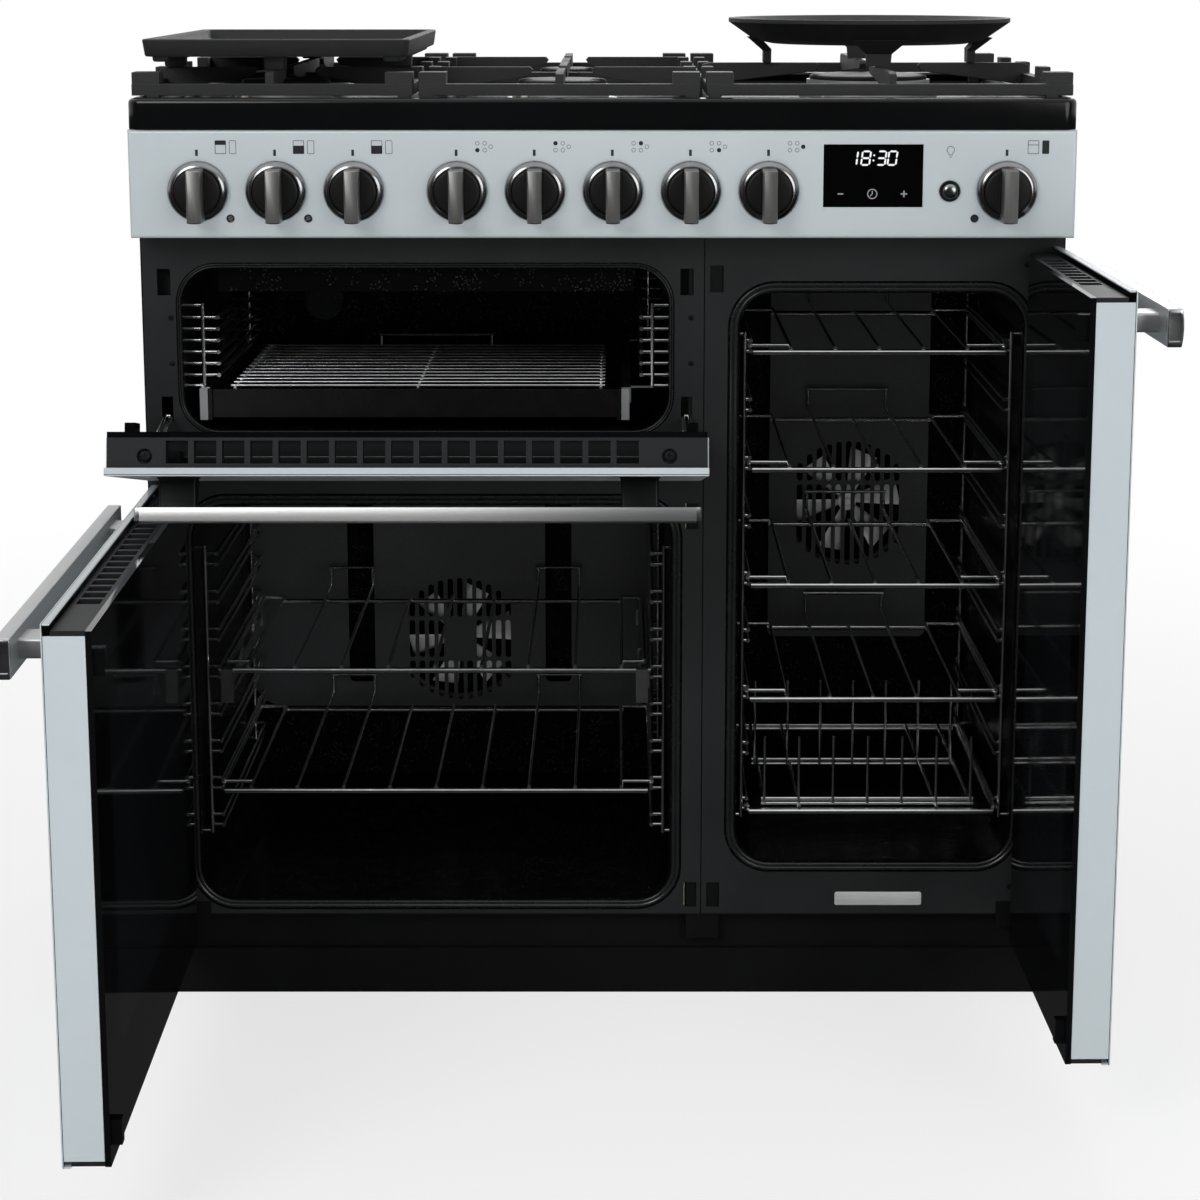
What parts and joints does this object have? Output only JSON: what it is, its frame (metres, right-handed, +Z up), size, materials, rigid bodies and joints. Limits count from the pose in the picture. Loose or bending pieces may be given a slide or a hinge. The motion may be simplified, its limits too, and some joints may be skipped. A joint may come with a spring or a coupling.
{
  "type": "range cooker",
  "caption": "Free-standing range cooker with a gas hob, griddle and wok ring, a drop-down grill door and two side-hinged ovens, standing with all its doors open.",
  "frame": {"origin": "on the floor, below the middle of the open cooker's outline", "axes": "+X to the right as seen from the front, +Y from the front to the back, +Z up"},
  "size_m": [0.9796, 1.1158, 0.9843],
  "materials": {
    "black_case": "satin powder coat",
    "black_enamel": "gloss vitreous enamel",
    "paint": "satin pale grey-blue",
    "door_glass": "black door liner with dark glass",
    "brushed_steel": "brushed",
    "chrome_wire": "polished wire",
    "zinc": "zinc plated",
    "cast_iron": "matt black",
    "burner_alloy": "cast",
    "seal": "braided seal",
    "wool": "mineral wool",
    "display": "black glass",
    "lamp": "lamp glass",
    "element": "oxidised steel"
  },
  "bodies": {
    "carcass": {"side_panels": "black_case", "back_panel": "zinc", "base_tray": "black_case", "front_frame": "black_enamel", "plinth": "black_case", "levelling_feet": "zinc", "grill_liner": "black_enamel", "left_oven_liner": "black_enamel", "right_oven_liner": "black_enamel", "insulation": "wool", "door_seals": "seal", "control_panel": "paint", "clock_display": "display", "lamps": "lamp", "control_gear": "zinc", "hob_tray": "black_enamel", "burner_bodies": "burner_alloy", "burner_caps": "cast_iron", "fan_covers": "black_enamel", "fan_motors": "zinc", "heating_elements": "element", "side_racks": "chrome_wire", "hinge_brackets": "black_case"},
    "left_fan": {"left_fan": "zinc"},
    "right_fan": {"right_fan": "zinc"},
    "rear_rollers": {"rear_rollers": "zinc"},
    "pan_support_left": {"pan_support_left": "cast_iron"},
    "pan_support_centre": {"pan_support_centre": "cast_iron"},
    "pan_support_right": {"pan_support_right": "cast_iron"},
    "griddle": {"griddle": "cast_iron"},
    "wok_ring": {"wok_ring": "cast_iron"},
    "light_button": {"light_button": "brushed_steel"},
    "left_shelf_upper": {"left_shelf_upper": "chrome_wire"},
    "left_shelf_lower": {"left_shelf_lower": "chrome_wire"},
    "right_shelf_1": {"right_shelf_1": "chrome_wire"},
    "right_shelf_2": {"right_shelf_2": "chrome_wire"},
    "right_shelf_3": {"right_shelf_3": "chrome_wire"},
    "right_shelf_4": {"right_shelf_4": "chrome_wire"},
    "plate_rack": {"plate_rack": "chrome_wire"},
    "grill_pan": {"grill_pan": "black_enamel"},
    "grill_trivet": {"grill_trivet": "chrome_wire"},
    "left_door": {"left_door_skin": "paint", "left_door_liner": "door_glass", "left_door_handle": "brushed_steel"},
    "right_door": {"right_door_skin": "paint", "right_door_liner": "door_glass", "right_door_handle": "brushed_steel"},
    "grill_door": {"grill_door_skin": "paint", "grill_door_liner": "door_glass", "grill_door_handle": "brushed_steel"},
    "grill_door_stays": {"grill_door_stays": "zinc"},
    "knob_oven_1": {"knob_oven_1": "brushed_steel"},
    "knob_oven_2": {"knob_oven_2": "brushed_steel"},
    "knob_oven_3": {"knob_oven_3": "brushed_steel"},
    "knob_oven_4": {"knob_oven_4": "brushed_steel"},
    "knob_burner_1": {"knob_burner_1": "brushed_steel"},
    "knob_burner_2": {"knob_burner_2": "brushed_steel"},
    "knob_burner_3": {"knob_burner_3": "brushed_steel"},
    "knob_burner_4": {"knob_burner_4": "brushed_steel"},
    "knob_burner_5": {"knob_burner_5": "brushed_steel"}
  },
  "joints": [
    {"name": "left_door_hinge", "type": "hinge", "parent": "carcass", "child": "left_door", "pos_m": [-0.425, -0.03612, 0.494], "axis": [0, 0, -1], "range_deg": [-89, 0]},
    {"name": "right_door_hinge", "type": "hinge", "parent": "carcass", "child": "right_door", "pos_m": [0.425, -0.03612, 0.73], "axis": [0, 0, 1], "range_deg": [-91, 0]},
    {"name": "grill_door_hinge", "type": "hinge", "parent": "carcass", "child": "grill_door", "pos_m": [0, -0.03612, 0.563], "axis": [1, 0, 0], "range_deg": [-77.5, 0]},
    {"name": "grill_stays_hinge", "type": "hinge", "parent": "grill_door", "child": "grill_door_stays", "pos_m": [0, -0.07995, 0.58706], "axis": [1, 0, 0], "range_deg": [0, 65.2]},
    {"name": "knob_oven_1_turn", "type": "hinge", "parent": "carcass", "child": "knob_oven_1", "pos_m": [-0.384, -0.06612, 0.827], "axis": [0, -1, 0], "range_deg": [-280, 0]},
    {"name": "knob_oven_2_turn", "type": "hinge", "parent": "carcass", "child": "knob_oven_2", "pos_m": [-0.31, -0.06612, 0.827], "axis": [0, -1, 0], "range_deg": [-280, 0]},
    {"name": "knob_oven_3_turn", "type": "hinge", "parent": "carcass", "child": "knob_oven_3", "pos_m": [-0.236, -0.06612, 0.827], "axis": [0, -1, 0], "range_deg": [-280, 0]},
    {"name": "knob_oven_4_turn", "type": "hinge", "parent": "carcass", "child": "knob_oven_4", "pos_m": [0.384, -0.06612, 0.827], "axis": [0, -1, 0], "range_deg": [-280, 0]},
    {"name": "knob_burner_1_turn", "type": "hinge", "parent": "carcass", "child": "knob_burner_1", "pos_m": [-0.138, -0.06612, 0.827], "axis": [0, -1, 0], "range_deg": [0, 210]},
    {"name": "knob_burner_2_turn", "type": "hinge", "parent": "carcass", "child": "knob_burner_2", "pos_m": [-0.064, -0.06612, 0.827], "axis": [0, -1, 0], "range_deg": [0, 210]},
    {"name": "knob_burner_3_turn", "type": "hinge", "parent": "carcass", "child": "knob_burner_3", "pos_m": [0.01, -0.06612, 0.827], "axis": [0, -1, 0], "range_deg": [0, 210]},
    {"name": "knob_burner_4_turn", "type": "hinge", "parent": "carcass", "child": "knob_burner_4", "pos_m": [0.084, -0.06612, 0.827], "axis": [0, -1, 0], "range_deg": [0, 210]},
    {"name": "knob_burner_5_turn", "type": "hinge", "parent": "carcass", "child": "knob_burner_5", "pos_m": [0.158, -0.06612, 0.827], "axis": [0, -1, 0], "range_deg": [0, 210]},
    {"name": "light_button_press", "type": "slide", "parent": "carcass", "child": "light_button", "axis": [0, 1, 0], "range_m": [0, 0.003], "stiffness_N_per_m": 400},
    {"name": "left_fan_spin", "type": "hinge", "parent": "carcass", "child": "left_fan", "pos_m": [-0.166, 0.38138, 0.276], "axis": [0, 1, 0], "continuous": true},
    {"name": "right_fan_spin", "type": "hinge", "parent": "carcass", "child": "right_fan", "pos_m": [0.277, 0.38138, 0.435], "axis": [0, 1, 0], "continuous": true},
    {"name": "rear_rollers_roll", "type": "hinge", "parent": "carcass", "child": "rear_rollers", "pos_m": [0, 0.48388, 0.022], "axis": [1, 0, 0], "continuous": true},
    {"name": "pan_support_left_lift", "type": "slide", "parent": "carcass", "child": "pan_support_left", "axis": [0, 0, 1], "range_m": [0, 0.1]},
    {"name": "pan_support_centre_lift", "type": "slide", "parent": "carcass", "child": "pan_support_centre", "axis": [0, 0, 1], "range_m": [0, 0.1]},
    {"name": "pan_support_right_lift", "type": "slide", "parent": "carcass", "child": "pan_support_right", "axis": [0, 0, 1], "range_m": [0, 0.1]},
    {"name": "griddle_lift", "type": "slide", "parent": "pan_support_left", "child": "griddle", "axis": [0, 0, 1], "range_m": [0, 0.1]},
    {"name": "wok_ring_lift", "type": "slide", "parent": "pan_support_right", "child": "wok_ring", "axis": [0, 0, 1], "range_m": [0, 0.1]},
    {"name": "left_shelf_upper_slide", "type": "slide", "parent": "carcass", "child": "left_shelf_upper", "axis": [0, -1, 0], "range_m": [0, 0.2]},
    {"name": "left_shelf_lower_slide", "type": "slide", "parent": "carcass", "child": "left_shelf_lower", "axis": [0, -1, 0], "range_m": [0, 0.25]},
    {"name": "right_shelf_1_slide", "type": "slide", "parent": "carcass", "child": "right_shelf_1", "axis": [0, -1, 0], "range_m": [0, 0.25]},
    {"name": "right_shelf_2_slide", "type": "slide", "parent": "carcass", "child": "right_shelf_2", "axis": [0, -1, 0], "range_m": [0, 0.25]},
    {"name": "right_shelf_3_slide", "type": "slide", "parent": "carcass", "child": "right_shelf_3", "axis": [0, -1, 0], "range_m": [0, 0.25]},
    {"name": "right_shelf_4_slide", "type": "slide", "parent": "carcass", "child": "right_shelf_4", "axis": [0, -1, 0], "range_m": [0, 0.25]},
    {"name": "plate_rack_slide", "type": "slide", "parent": "carcass", "child": "plate_rack", "axis": [0, -1, 0], "range_m": [0, 0.25]},
    {"name": "grill_pan_slide", "type": "slide", "parent": "carcass", "child": "grill_pan", "axis": [0, -1, 0], "range_m": [0, 0.08]},
    {"name": "grill_trivet_lift", "type": "slide", "parent": "grill_pan", "child": "grill_trivet", "axis": [0, 0, 1], "range_m": [0, 0.05]}
  ],
  "couplings": [
    {"joint": "grill_stays_hinge", "follows": "grill_door_hinge", "ratio": -0.84129}
  ]
}
